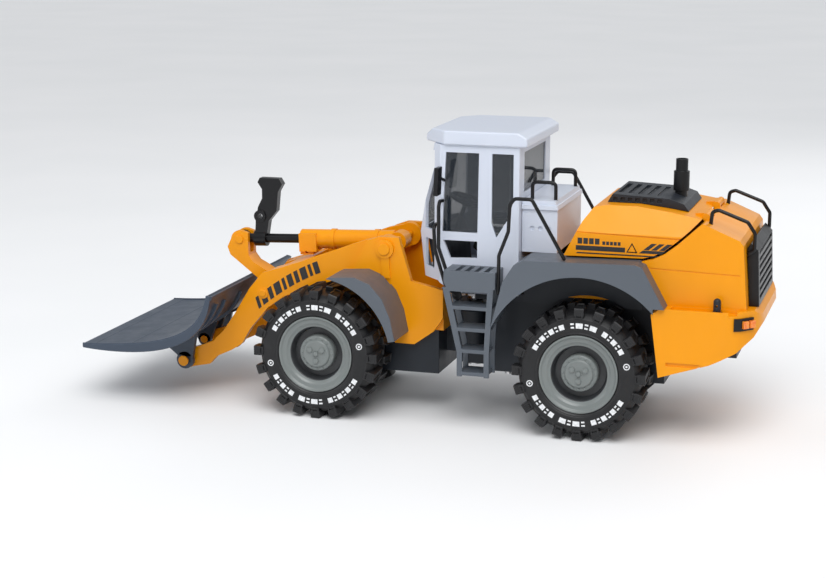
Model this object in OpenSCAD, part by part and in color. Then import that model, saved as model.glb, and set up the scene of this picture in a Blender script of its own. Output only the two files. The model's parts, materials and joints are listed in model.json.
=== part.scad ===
// Toy articulated wheel loader. Millimetres, +X forward, +Y left, +Z up, wheels stand on Z = 0.
// Stations along X are counted from the rear axle, and at_frame() moves them to the part's frame.

/* [Wheels] */
// Distance between the two axles
wheelbase = 225; // [222:1:230]
// Outside diameter of the tyres
tyre_d = 110; // [108:1:111]
// Width of a tyre
tyre_w = 44; // [40:1:44]
// Lugs on each shoulder of a tyre
lug_count = 20; // [16:1:22]

/* [Body] */
// Width over the tyres and the fenders
overall_w = 168; // [168:1:176]
// Width of the cab
cab_w = 110; // [100:1:112]
// Height of the cab roof above the ground
roof_z = 245; // [238:1:250]
// Width of the engine hood
hood_w = 124; // [116:1:126]

/* [Bucket] */
// Width of the bucket
bucket_w = 190; // [176:1:200]
// Thickness of the bucket floor
bucket_t = 3; // [2.5:0.1:3.5]

/* [Hidden] */
$fn = 48;

YELLOW = [0.98, 0.66, 0.05];
STONE = [0.38, 0.42, 0.46];
DARK = [0.16, 0.18, 0.2];
BLACK = [0.05, 0.05, 0.055];
WHITE = [0.88, 0.9, 0.93];
STEEL = [0.72, 0.73, 0.74];

// The frame's X origin is the middle of the overall length
tail_x = -142;
tip_x = 435;
frame_mid = (tip_x + tail_x) / 2;
axle_z = tyre_d / 2;
front_x = wheelbase;
half_w = overall_w / 2;
wheel_in = half_w - tyre_w;
run = 0.05;

// Pivots of the loader linkage, as X station and height
pivot_arm = [176, 141];
pivot_crank = [290, 94];
crank_top = [322, 135];
crank_low = [276.5, 72.6];
link_end = [357.7, 42];
pivot_bucket = [363, 30];
steer_x = 108;
hinge_p = [-93, 182];
tow_p = [-108, 72.6];
rod_a = atan2(crank_top[1] - pivot_arm[1], crank_top[0] - pivot_arm[0]);

arm_in = 29;
arm_t = 6;
tower_in = 36;
tower_t = 6;
pin_r = 3;
axle_r = 3;
lip_x = 317;
tip_z = 52;

module at_frame() { translate([-frame_mid, 0, 0]) children(); }
module both_sides() { children(); mirror([0, 1, 0]) children(); }
// Side profile drawn in X and Z, standing from y0 to y1
module profile(y0, y1) { translate([0, y1, 0]) rotate([90, 0, 0]) linear_extrude(y1 - y0) children(); }
module rod_y(p, y0, y1, r) { translate([p[0], y0, p[1]]) rotate([-90, 0, 0]) cylinder(r = r, h = y1 - y0); }
module rod_z(x, y, z0, z1, r) { translate([x, y, z0]) cylinder(r = r, h = z1 - z0); }
module block(x0, x1, y0, y1, z0, z1) { translate([x0, y0, z0]) cube([x1 - x0, y1 - y0, z1 - z0]); }
// Thin rail bent through a list of points
module bent_bar(points, r) {
    for (i = [1 : len(points) - 1]) hull() {
        translate(points[i - 1]) sphere(r = r, $fn = 10);
        translate(points[i]) sphere(r = r, $fn = 10);
    }
}

// ---------- rear half: chassis and body ----------

screw_x = [-40, 70];
screw_y = 31;
module rear_chassis() {
    color(DARK) at_frame() difference() {
        union() {
            block(-62, 88, -34, 34, 40, 104);
            // Deck plate under the cab and the body
            block(-110, 112, -46, 46, 104, 110);
            block(-120, -62, -34, 34, 66, 104);
            // Skirts that close the inside of the wheel arches
            both_sides() {
                block(-44, 54, 44, 47.1, 104, 110);
                profile(46.1, 47.1) polygon([[-44, 109], [-44, 142], [44, 141], [50, 138], [54, 130],
                    [54, 109]]);
            }
            // Articulation fork
            for (z = [40, 86]) {
                block(80, steer_x, -14, 14, z, z + 8);
                rod_z(steer_x, 0, z, z + 8, 14);
            }
            // Axle bosses
            both_sides() rod_y([0, axle_z], 34, wheel_in - 2, 9);
        }
        block(-56, 72, -28, 28, 46, 99);
        block(-108, -68, -28, 28, 72, 99);
        both_sides() rod_y([0, axle_z], 38, 50, 58);
        both_sides() block(96, 113, 30, 50, 103, 111);
        block(-58, 60, -22, 22, 39, 47);
        rod_y([0, axle_z], -50, 50, axle_r + run);
        rod_z(steer_x, 0, 30, 100, 4 + run);
        for (x = screw_x) both_sides() rod_z(x, screw_y, 38, 58, 1.6);
    }
}

module battery_cover() {
    color(DARK) at_frame() difference() {
        block(-57.5, 59.5, -21.5, 21.5, 40, 43);
        for (x = [-48 : 8 : -16]) block(x, x + 3, -14, 14, 39, 41);
    }
}

module chassis_screws() {
    color(STEEL) at_frame() for (x = screw_x) both_sides() difference() {
        union() {
            rod_z(x, screw_y, 38.4, 40, 3);
            rod_z(x, screw_y, 40, 56, 1.5);
        }
        // Cross slot in the head
        block(x - 2, x + 2, screw_y - 0.4, screw_y + 0.4, 38, 39.2);
        block(x - 0.4, x + 0.4, screw_y - 2, screw_y + 2, 38, 39.2);
    }
}

// Yellow body behind the cab: narrow between the rear fenders, wide behind them
module rear_body() {
    seam = [[-46, 147], [-55, 149.5], [-64, 154], [-74, 162], [-84, 171.5], [-92, 179]];
    tail = [[-94, 180], [-104, 176], [-123, 168], [-126, 164], [-130, 113], [-66, 113], [-60, 122]];
    color(YELLOW) at_frame() union() {
        both_sides() rod_y(hinge_p, 18, 42, 1.2);
        difference() {
            union() {
                profile(-46, 46) polygon([[24, 110.2], [24, 140], [15, 146], [-46, 146], [-46, 110.2]]);
                profile(-66, 66) polygon(concat(seam, tail));
                profile(-46, 46) polygon([[-45, 145.8], [-45, 113], [-68, 113], [-56, 135], [-48, 146]]);
                both_sides() for (y = [16, 40.4]) hood_lug(y);
            }
            // Engine bay, open at the top under the hood, with room for the hood's own hinge barrels
            block(-50, 16, -42, 42, 115, 160);
            both_sides() rod_y(hinge_p, 19.8, 40.2, 3.5);
            both_sides() rod_z(-98, 52, 170, 185, 1.8);
            profile(-60, 60) polygon([[-44, 160], [-44, 115], [-120, 115], [-120, 164], [-98, 174],
                [-89, 181]]);
            // Shallow panel line along the flank
            both_sides() profile(65.4, 67) polygon([[-52, 143], [-124, 141], [-124, 140], [-52, 142]]);
        }
    }
}

// Lug that holds one end of a hood hinge pin
module hood_lug(y) {
    profile(y, y + 3.6) polygon([[-97, 176], [-96, 182], [-90.4, 182], [-90.4, 177]]);
    rod_y(hinge_p, y, y + 3.6, 3);
}

module counterweight() {
    color(YELLOW) at_frame() difference() {
        intersection() {
            profile(-80, 80) polygon([[-57, 108], [-64, 57], [-104, 70], [-124, 80], [-136, 91],
                [tail_x, 101],
                [-141, 108], [-136, 113], [-64, 113]]);
            linear_extrude(200) polygon([[-50, -80], [-50, 80], [-112, 80], [-126, 74], [-138, 60],
                [tail_x, 44],
                [tail_x, -44], [-138, -60], [-126, -74], [-112, -80]]);
        }
        // Room for the chassis beam and the tyres
        block(-121, -50, -35, 35, 50, 104);
        block(-111, -50, -47, 47, 103, 110.2);
        rod_y([0, axle_z], -90, 90, 61);
        // Tray recess on the rear shelf and a slot low on each flank
        both_sides() block(-124, -72, 67.6, 77.6, 110, 114);
        both_sides() block(-97, -70, 78.5, 81, 67, 70);
        both_sides() rod_z(tow_p[0], tow_p[1], 104, 112, 3 + run);
        // Seats for the lamp housings
        both_sides() block(-136, -122, 64, 82, 98, 108);
    }
}

module rear_grille() {
    color(BLACK) at_frame() difference() {
        profile(-50, 50) polygon([[-127, 160], [-130, 113.2], [-138, 113.2], [-136, 158], [-130, 164]]);
        for (i = [0 : 6]) block(-140, -134.5, -44, 44, 118 + 6 * i, 121 + 6 * i);
    }
}

module lens_pair(grow = 0) {
    translate([-132.8, 69.6, 103]) rotate([0, 0, 48]) for (k = [-1, 1])
        translate([k * 3.4 - 2.6 - grow, -1.6, -3 - grow]) cube([5.2 + 2 * grow, 3, 6 + 2 * grow]);
}

module tail_lamps() {
    color(BLACK) at_frame() both_sides() difference() {
        intersection() {
            block(-136, -122, 64, 82, 98, 108);
            linear_extrude(200) polygon([[-100, 50], [-100, 81], [-112, 81], [-127, 75], [-139, 61],
                [-139, 50]]);
        }
        lens_pair(0.1);
    }
}

module tail_lenses() { color([0.95, 0.35, 0.05]) at_frame() both_sides() lens_pair(); }

module tow_pin() {
    color(DARK) at_frame() both_sides() difference() {
        union() {
            rod_z(tow_p[0], tow_p[1], 104.2, 120, 3);
            rod_z(tow_p[0], tow_p[1], 110, 111.6, 4.6);
            translate([tow_p[0], tow_p[1], 120]) sphere(r = 3);
        }
        rod_y([tow_p[0], 117], 60, 85, 1);
    }
}

module grab_rails() {
    color(BLACK) at_frame() both_sides() bent_bar([[-98, 52, 178.5], [-99, 52, 188], [-104, 52, 189.5],
        [-127, 52, 181], [-133, 52, 172], [-133, 52, 158.5], [-128.6, 52, 156]], 1.5);
}

module engine_block() {
    color([0.3, 0.31, 0.33]) at_frame() difference() {
        union() {
            block(-84, -8, -22, 22, 115, 142);
            for (x = [-78 : 12 : -18]) block(x, x + 8, -20, 20, 142, 150);
            rod_y([-12, 128], -30, 30, 8);
            translate([-8, 0, 130]) rotate([0, 90, 0]) cylinder(r = 14.6, h = 6);
        }
        block(-90, 0, -1.5, 1.5, 148, 151);
    }
}

// ---------- hood, hinged at its rear top edge ----------

hood_half = hood_w / 2;
module hood_side() {
    polygon([[18, 148.2], [12, 160], [4, 176], [-4, 187], [-14, 189], [-39, 189], [-65, 186], [-86, 182.5],
        [-90.8, 181.2], [-83, 173], [-73, 163.8], [-63.4, 156], [-54.6, 151.4], [-46, 149.2]]);
}

// Front outline with sloping shoulders, smaller all round by inset
module hood_front(inset = 0) {
    half = hood_half - inset;
    translate([-200, 0, 0]) rotate([90, 0, 90]) linear_extrude(400) polygon([[-half, 100],
        [-half, 168 - inset / 4],
        [0.6 * inset - 50, 190 - inset], [50 - 0.6 * inset, 190 - inset], [half, 168 - inset / 4],
        [half, 100]]);
}

module engine_hood() {
    color(YELLOW) at_frame() difference() {
        union() {
            intersection() {
                profile(-hood_half, hood_half) hood_side();
                hood_front();
            }
            both_sides() {
                rod_y(hinge_p, 20, 40, 3);
                profile(20, 40) polygon([[-93, 180], [-93, 184.8], [-84, 184.2], [-84, 180]]);
            }
        }
        both_sides() for (y = [15.6, 40]) rod_y(hinge_p, y, y + 4.4, 3.5);
        // Hollow underside
        intersection() {
            profile(-hood_half, hood_half) polygon([[20, 140], [13.5, 147], [8, 158], [0, 174], [-7, 182],
                [-14, 184], [-39, 184], [-65, 181], [-82, 177.5], [-84, 176], [-70, 160], [-46, 140]]);
            hood_front(4);
        }
        both_sides() rod_y(hinge_p, 10, 50, 1.2 + run);
        // Shallow crease along each side panel
        both_sides() profile(hood_half - 0.8, hood_half + 1) polygon([[10, 168.6], [-76, 166.6], [-76, 165.6],
            [10, 167.6]]);
    }
}

module hood_cowl() {
    color(DARK) at_frame() difference() {
        profile(-36, 36) polygon([[-12, 189.2], [-16, 196], [-62, 194], [-74, 190], [-78, 184.5],
            [-65, 186.2], [-39, 189.2]]);
        both_sides() for (i = [0 : 6]) translate([-56 + 6 * i, 34.5, 190]) cube([3.4, 3, 3.2]);
        for (i = [0 : 4]) block(-54 + 8 * i, -50 + 8 * i, -24, 24, 193, 197);
        rod_z(-66, 0, 180, 200, 5 + run);
    }
}

module exhaust_pipe() {
    color(BLACK) at_frame() difference() {
        union() {
            rod_z(-66, 0, 187, 222, 5);
            rod_z(-66, 0, 196, 212, 6.5);
        }
        rod_z(-66, 0, 204, 223, 3.6);
    }
}

// ---------- cab and what is on it ----------

cab_half = cab_w / 2;
cab_rear = 57;
cab_nose = 148;
cab_wall = 3;
roof_t = 12;
// Cab outline seen from above, smaller all round by inset
module cab_plan(inset = 0) {
    half = cab_half - inset;
    nose_half = 30 - inset / 3;
    polygon([[cab_rear + inset, -half], [124 - inset / 2, -half], [cab_nose - inset, -nose_half],
        [cab_nose - inset, nose_half], [124 - inset / 2, half], [cab_rear + inset, half]]);
}
module cab_side() {
    polygon([[cab_rear, 110.2], [112, 110.2], [126, 119], [142, 119], [cab_nose, 156],
        [131, roof_z - roof_t], [cab_rear, roof_z - roof_t]]);
}

module cab_shell() {
    window_top = roof_z - 18;
    color(WHITE) at_frame() difference() {
        intersection() {
            linear_extrude(260) cab_plan();
            profile(-60, 60) cab_side();
        }
        // Interior
        intersection() {
            translate([0, 0, 122]) linear_extrude(140) cab_plan(cab_wall);
            profile(-60, 60) polygon([[cab_rear + cab_wall, 122], [138.4, 122], [144.6, 156], [126, 250],
                [cab_rear + cab_wall, 250]]);
        }
        // Door windows, upper and lower, and the narrow windows behind the pillar
        profile(-60, 60) polygon([[122, 161], [119, window_top], [91, window_top], [92, 161]]);
        profile(-60, 60) polygon([[121, 154], [92, 154], [92, 140], [115, 139]]);
        profile(-60, 60) polygon([[76, 158], [80, 170], [80, window_top], [62, window_top], [62, 188],
            [66, 174]]);
        // Windscreen and its two corner panes
        block(120, 160, -27, 27, 160, window_top);
        block(129, 160, -27, 27, 126, 152);
        both_sides() translate([136, 42, 0]) rotate([0, 0, -46]) {
            block(-8, 8, -12, 12, 160, window_top);
            block(-8, 8, -12, 12, 128, 152);
        }
        // Rear window
        block(50, 64, -38, 38, 194, window_top);
    }
}

module cab_roof() {
    color(WHITE) at_frame() difference() {
        intersection() {
            translate([0, 0, roof_z - roof_t]) linear_extrude(roof_t) polygon([[50, -58], [120, -58],
                [142, -34],
                [142, 34], [120, 58], [50, 58]]);
            profile(-60, 60) polygon([[49, roof_z - roof_t], [143, roof_z - roof_t], [143, roof_z - 7],
                [134, roof_z], [58, roof_z], [49, roof_z - 5]]);
        }
        block(62, 118, -46, 46, roof_z - 13, roof_z - 6);
    }
}

module cab_glazing() {
    pane_top = roof_z - 18.4;
    color([0.25, 0.3, 0.34, 0.5]) at_frame() {
        both_sides() profile(cab_half - 2.6, cab_half - 1.2) polygon([[121.5, 161.4], [118.5, pane_top],
            [91.4, pane_top], [92.4, 161.4]]);
        both_sides() profile(cab_half - 2.6, cab_half - 1.2) polygon([[79.6, 170.5], [79.6, pane_top],
            [62.4, pane_top], [62.4, 188], [66.2, 174.8], [75.8, 158.8]]);
        block(58, 59.4, -37.6, 37.6, 194.4, pane_top);
        translate([146, 0, 156]) rotate([0, -12.6, 0]) block(-1, 0.2, -26.6, 26.6, 5, 71);
    }
}

module dash_console() {
    color(DARK) at_frame() {
        profile(-30, 30) polygon([[120, 122.2], [136, 122.2], [141, 150], [134, 158], [126, 158],
            [122, 146]]);
        translate([126, 0, 152]) rotate([0, -20, 0]) cylinder(r = 2, h = 24);
    }
}

module seat() {
    color(BLACK) at_frame() union() {
        block(70, 98, -16, 16, 122.2, 138);
        profile(-18, 18) polygon([[66, 138], [102, 138], [106, 142], [104, 148], [78, 146], [70, 192],
            [60.4, 196], [60.4, 160]]);
        profile(-11, 11) polygon([[61, 196], [70, 192], [69, 206], [62, 208]]);
        both_sides() block(70, 98, 18, 23, 156, 161);
    }
}

module steering_wheel() {
    color(BLACK) at_frame() translate([116, 0, 179]) rotate([0, -20, 0]) {
        rotate_extrude() translate([13, 0]) circle(r = 2);
        for (a = [90, 210, 330]) rotate([0, 0, a]) translate([0, -1.5, -1.4]) cube([13, 3, 2.6]);
        translate([0, 0, -2.6]) cylinder(r = 4, h = 5);
    }
}

module mirrors() {
    color(BLACK) at_frame() both_sides() {
        bent_bar([[120, 56.5, 204], [120, 70, 208], [120, 76, 208]], 1.3);
        translate([120, 76, 207]) rotate([0, 4, 0]) block(-1.6, 1.6, -5, 7, -13, 11);
    }
}

module front_rails() {
    color(BLACK) at_frame() both_sides() {
        bent_bar([[121, 56.7, 187], [121, 66, 188], [121, 69, 184], [121, 69, 150], [114.6, 69, 131]], 1.5);
        bent_bar([[125, 56.5, 168], [125, 66, 168], [125, 69, 165], [124, 69, 148], [115, 69, 119],
            [108, 69, 111]], 1.5);
        rod_y([105, 111], 67.8, 70.2, 4);
    }
}

module deck_box() {
    color(WHITE) at_frame() difference() {
        union() {
            profile(-46, 46) polygon([[56.6, 146.2], [27, 146.2], [27, 183], [29, 189], [56.6, 189]]);
            profile(-48, 48) polygon([[56.6, 182], [26, 182], [27, 185.4], [56.6, 185.4]]);
        }
        block(31, 53, -40, 40, 140, 180);
        both_sides() for (x = [30.5, 50]) rod_z(x, 38, 187, 190, 1.8);
        both_sides() for (x = [34, 41, 48]) rod_y([x, 166], 44.5, 49, 2);
    }
}

module deck_handle() {
    color(BLACK) at_frame() both_sides() bent_bar([[50, 38, 188.8], [50, 38, 198.4], [46, 38, 202.6],
        [34.4, 38, 203], [30.5, 38, 199], [30.5, 38, 188.8]], 1.5);
}

module deck_rails() {
    color(BLACK) at_frame() both_sides() bent_bar([[68, 78, 118], [67.6, 78, 148], [60, 78, 168],
        [59, 78, 188],
        [55, 78, 194.6], [42, 78, 195], [14, 78, 148.9]], 1.5);
}

// Sill with a four-step ladder under it
module ladder_one() {
    difference() {
        union() {
            profile(55.2, 82) polygon([[69.7, 134], [113, 134], [113, 124], [109, 117], [75, 117], [72, 120],
                [69.7, 120]]);
            for (y = [61, 80]) {
                profile(y, y + 2) polygon([[114, 120], [101.5, 66], [101.5, 46], [97, 46], [97, 67],
                    [108.5, 120]]);
                profile(y, y + 2) polygon([[71, 120], [74.2, 68], [74.2, 46], [78.6, 46], [78.6, 68],
                    [76, 120]]);
            }
            for (s = [[47, 76, 100], [66, 76, 100], [84, 75.5, 104], [102, 74.5, 108]])
                block(s[1], s[2], 61, 82, s[0], s[0] + 3);
        }
        for (x = [76 : 8 : 100]) block(x, x + 4, 58, 79, 131, 135);
    }
}
module ladder_left() { color(STONE) at_frame() ladder_one(); }
module ladder_right() { color(STONE) at_frame() mirror([0, 1, 0]) ladder_one(); }

// ---------- fenders ----------

rear_arch_r = 80;
module rear_fender_one() {
    difference() {
        profile(46.2, half_w) polygon([[72, 70], [72, 92], [63, 128], [54, 142], [47, 146], [-44, 147.8],
            [-50, 145.8], [-68, 113.3], [-60, 108], [60, 70]]);
        profile(46, half_w - 3) polygon([[69, 60], [69, 91.6], [60.2, 126.6], [51.8, 139.6], [46, 143],
            [-43, 144.8], [-47.4, 143.4], [-63.6, 114.4], [-60, 100]]);
        rod_y([0, axle_z], 40, 90, rear_arch_r);
        // Room for the wide part of the body
        block(-80, -45.9, 40, 66.2, 100, 150);
        // Clear of the cab, and of the counterweight under its tail
        block(56.5, 75, 40, 55.2, 60, 160);
        block(-80, -59, 40, 90, 100, 113.2);
    }
}
module rear_fender_left() { color(STONE) at_frame() rear_fender_one(); }
module rear_fender_right() { color(STONE) at_frame() mirror([0, 1, 0]) rear_fender_one(); }

front_arch_r = 66;
module front_fender_one() {
    color(STONE) at_frame() difference() {
        profile(tower_in + tower_t, half_w - 2) polygon([[front_x - 8, 119.5], [front_x - 13, 121.5],
            [front_x - 35, 123], [front_x - 48, 118], [front_x - 59, 106], [front_x - 66, 90],
            [front_x - 70, 71], [front_x - 60, 69], [front_x, 100]]);
        profile(tower_in + tower_t - 1, half_w - 5) polygon([[front_x - 4, 116], [front_x - 14, 118],
            [front_x - 34, 119.6], [front_x - 46, 115.4], [front_x - 56.4, 104.4], [front_x - 63.2, 89],
            [front_x - 67, 71], [front_x - 66, 60], [front_x, 90]]);
        rod_y([front_x, axle_z], 30, 90, front_arch_r);
        block(170.6, 180, 41, 44.2, 110, 142);
    }
}
module front_fender_left() { front_fender_one(); }
module front_fender_right() { mirror([0, 1, 0]) front_fender_one(); }

// ---------- front half: frame and tower ----------

module articulation_pin() {
    color(STEEL) at_frame() union() {
        rod_z(steer_x, 0, 38, 96, 4);
        rod_z(steer_x, 0, 94, 97, 7);
        rod_z(steer_x, 0, 37, 40, 7);
    }
}

module front_chassis() {
    color(DARK) at_frame() difference() {
        union() {
            block(130, 250, -35.8, 35.8, 34, 72);
            // Tongue held in the fork of the rear chassis
            block(steer_x, 124, -12, 12, 49, 85);
            block(120, 134, -12, 12, 49, 72);
            rod_z(steer_x, 0, 49, 85, 12);
            both_sides() rod_y([front_x, axle_z], 35, wheel_in - 2, 9);
        }
        rod_z(steer_x, 0, 40, 90, 4 + run);
        rod_y([front_x, axle_z], -50, 50, axle_r + run);
        block(150, 212, -28, 28, 30, 62);
        profile(-14, 14) polygon([[240, 30], [260, 30], [260, 80], [236, 80]]);
    }
}

module front_tower() {
    color(YELLOW) at_frame() difference() {
        union() {
            both_sides() profile(tower_in, tower_in + tower_t) polygon([[181, 151], [164, 151], [153, 114],
                [125, 108], [125, 84], [133, 72.2], [150, 60], [248, 60], [248, 78], [220, 92], [206, 116],
                [202, 127], [192, 147]]);
            // Rear wall between the side plates, and the floor over the chassis
            block(126, 132, -tower_in, tower_in, 72.2, 106);
            block(126, 248, -tower_in, tower_in, 72.2, 77);
            both_sides() rod_y(pivot_arm, tower_in, tower_in + tower_t + 2.5, 8);
            both_sides() profile(tower_in, tower_in + tower_t + 1.6) polygon([[179.5, 141], [172.5, 141],
                [171, 116], [178, 116]]);
        }
        rod_y(pivot_arm, -60, 60, pin_r + run);
        block(135, 170, -24, 24, 70, 80);
        block(240, 250, -15, 15, 70, 80);
        // Clear of the tyres and of the axle bosses
        both_sides() rod_y([front_x, axle_z], 39.2, 60, 58);
        both_sides() rod_y([front_x, axle_z], 30, 60, 9.4);
    }
}

module arm_pivot_pin() {
    color(YELLOW) at_frame() union() {
        rod_y(pivot_arm, -46, 46, pin_r);
        both_sides() rod_y(pivot_arm, 44.5, 46, 5);
    }
}

axle_reach = 76;
module front_axle() { color(STEEL) at_frame() rod_y([front_x, axle_z], -axle_reach, axle_reach, axle_r); }
module rear_axle() { color(STEEL) at_frame() rod_y([0, axle_z], -axle_reach, axle_reach, axle_r); }

// ---------- loader linkage ----------

module lift_arm() {
    color(YELLOW) at_frame() difference() {
        union() {
            both_sides() {
                profile(arm_in, arm_in + arm_t) polygon([[176, 151], [196, 146], [256, 123.4], [291, 111.6],
                    [303, 97], [317, 74], [328, 58], [338, 48], [352, 42], [366, 38.4], [363, 22],
                    [342, 26.4],
                    [335, 34], [321, 40.5], [311, 47], [302, 62], [286, 81], [270, 92.5], [251, 99],
                    [228, 108], [174, 131]]);
                rod_y(pivot_arm, arm_in, arm_in + arm_t, 10.2);
                rod_y(pivot_bucket, arm_in, arm_in + arm_t, 8.4);
                // Bosses of the cross pin
                rod_y(pivot_crank, arm_in - 3, arm_in + arm_t, 8);
            }
            // Cross webs between the two plates
            profile(-arm_in, arm_in) polygon([[252, 124], [286, 113], [286, 109], [252, 120]]);
            profile(-arm_in, arm_in) polygon([[318, 68], [328, 54], [324, 51], [314, 65]]);
            profile(-arm_in, arm_in) polygon([[200, 139], [214, 134], [213, 130.6], [199, 135.6]]);
        }
        rod_y(pivot_arm, -60, 60, pin_r + run);
        rod_y(pivot_crank, -60, 60, pin_r + run);
        rod_y(pivot_bucket, -60, 60, pin_r + run);
        // Slots that clear the lever, the link and the tilt cylinder
        block(275, 300, -10, 10, 100, 130);
        block(305, 335, -11, 11, 44, 75);
        block(190, 220, -13, 13, 120, 142);
    }
}

module bellcrank_pin() {
    color(YELLOW) at_frame() union() {
        rod_y(pivot_crank, -37, 37, pin_r);
        both_sides() rod_y(pivot_crank, arm_in + arm_t, arm_in + arm_t + 0.9, 5);
    }
}

module bucket_pins() {
    color(YELLOW) at_frame() both_sides() {
        rod_y(pivot_bucket, arm_in - 2, 45, pin_r);
        rod_y(pivot_bucket, 43.6, 45.4, 4.6);
    }
}

module bellcrank() {
    fork = 4;
    color(YELLOW) at_frame() difference() {
        union() {
            profile(-9, 9) polygon([[crank_low[0] - 6, 70], [crank_low[0] + 3, 66.4], [298, 92], [306, 102],
                [331, 121], [333.6, 128], [329.4, 137], [320.4, 143], [314, 141], [314, 130], [313.6, 121],
                [309, 115], [303, 112], [284, 101]]);
            rod_y(crank_low, -9, 9, 7);
            rod_y(pivot_crank, -12, 12, 9);
            rod_y(crank_top, -9, 9, 8);
        }
        rod_y(pivot_crank, -20, 20, pin_r + run);
        rod_y(crank_top, -20, 20, 2 + run);
        rod_y(crank_low, -20, 20, 2 + run);
        // Forks for the rod eye above and the link eye below
        translate([crank_top[0], 0, crank_top[1]]) block(-14, 14, -fork - 0.6, fork + 0.6, -12, 14);
        translate([crank_low[0], 0, crank_low[1]]) block(-14, 13, -fork - 0.6, fork + 0.6, -12, 11.4);
    }
}

module bellcrank_ends() {
    color(YELLOW) at_frame() for (p = [crank_top, crank_low]) {
        rod_y(p, -9.8, 9.8, 2);
        both_sides() rod_y(p, 9.1, 10.2, 3.6);
    }
}

module tilt_link() {
    d = link_end - crank_low;
    a = atan2(d[1], d[0]);
    color(YELLOW) at_frame() difference() {
        union() {
            rod_y(crank_low, -3.8, 3.8, 6);
            rod_y(link_end, -3.8, 3.8, 6);
            translate([crank_low[0], 0, crank_low[1]]) rotate([0, -a, 0])
                block(2.5, norm(d) - 3.5, -3.2, 3.2, -4.4, 4.4);
        }
        rod_y(crank_low, -9, 9, 2 + run);
        rod_y(link_end, -9, 9, 3.1);
    }
}

// Cylinder between the tower and the lever, drawn along its own axis from the tower pivot
module on_cylinder() { translate([pivot_arm[0], 0, pivot_arm[1]]) rotate([0, -rod_a, 0]) children(); }
module ring_x(x0, x1, r) { translate([x0, 0, 0]) rotate([0, 90, 0]) cylinder(r = r, h = x1 - x0); }

module tilt_barrel() {
    color(YELLOW) at_frame() difference() {
        union() {
            rod_y(pivot_arm, -8, 8, 8);
            on_cylinder() {
                ring_x(4, 90, 8.4);
                block(74, 90, -9.4, 9.4, -10, 6);
                block(78, 90, -7, 7, -13, -8);
                ring_x(18, 22, 9.2);
                ring_x(58, 62, 9.2);
            }
        }
        rod_y(pivot_arm, -20, 20, pin_r + run);
        on_cylinder() {
            ring_x(14, 95, 4 + run);
            translate([84, -12, -10.6]) rotate([-90, 0, 0]) cylinder(r = 1.2, h = 24);
        }
    }
}

rod_reach = norm(crank_top - pivot_arm);
module tilt_rod() {
    color(BLACK) at_frame() difference() {
        union() {
            on_cylinder() ring_x(46, rod_reach - 4, 4);
            rod_y(crank_top, -4.2, 4.2, 6.6);
        }
        rod_y(crank_top, -9, 9, 2.5);
    }
}

module tilt_grip() {
    color(BLACK) at_frame() difference() {
        union() {
            on_cylinder() ring_x(123, 134, 7);
            profile(-4, 4) polygon([[298, 140], [309, 140], [308.4, 152], [306, 164], [302, 172], [302, 180],
                [306, 186], [304, 190], [286, 190], [283, 185], [287, 178], [288.6, 161], [296, 152]]);
            rod_y([304, 156], -5.4, 5.4, 5.4);
        }
        on_cylinder() ring_x(110, 140, 4 + run / 2);
        rod_y([304, 156], -9, 9, 2.6);
    }
}

// Bucket section: a quadratic sweep from the cutting edge up to the lip, as distance back and height
depth = tip_x - lip_x;
rise = 50;
steps = 14;
function curve_b(t) = [depth * (1.8 * t * (1 - t) + t * t),
    rise * (0.12 * t * (1 - t) + 0.65 * pow(t, 2) + 0.35 * pow(t, 4))];
// Point at depth k under the skin, measured square to the sweep
function skin(t, k) =
    let (a = curve_b(t), b = curve_b(t + 0.01), d = (b - a) / norm(b - a)) a + k * [d[1], -d[0]];
function from_tip(p) = [tip_x - p[0], tip_z + p[1]];
module sheet(cheek) {
    inner = [for (i = [0 : steps]) skin(i / steps, 0)];
    outer = [for (i = [steps : -1 : 0]) skin(i / steps, bucket_t + cheek * sin(180 * pow(i / steps, 0.8)))];
    polygon([for (p = concat(inner, outer)) from_tip(p)]);
}

module bucket() {
    ear_out = 4.6;
    rib_t = [0.8, 0.88, 0.97];
    half_b = bucket_w / 2;
    color([0.3, 0.35, 0.42]) at_frame() difference() {
        union() {
            profile(-half_b, half_b) sheet(0);
            both_sides() profile(half_b - 5, half_b) sheet(5);
            // Pivot ears outside the arms and the pair for the link
            both_sides() {
                profile(37, 37 + ear_out) polygon([[370.2, 34], [394, 53], [372, 57], [350, 61.6],
                    [355.6, 33]]);
                rod_y(pivot_bucket, 37, 37 + ear_out, 8);
                profile(6, 10) polygon([[363.6, 41], [372, 57], [342, 66.8], [352, 40]]);
                rod_y(link_end, 6, 10, 6);
            }
            // Short ribs of the spill guard inside the lip
            for (i = [-6 : 6]) translate([0, i * 12 - 1, 0]) profile(0, 2) polygon([
                for (t = rib_t) from_tip(skin(t, -1.6)), for (k = [2 : -1 : 0]) from_tip(skin(rib_t[k], 1))]);
        }
        rod_y(pivot_bucket, -60, 60, pin_r + run);
        rod_y(link_end, -20, 20, 2 + run);
    }
}

module bucket_link_pin() {
    color(YELLOW) at_frame() union() {
        rod_y(link_end, -10.4, 10.4, 2);
        both_sides() rod_y(link_end, 10.1, 11.2, 3.4);
    }
}

// ---------- wheels ----------

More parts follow.
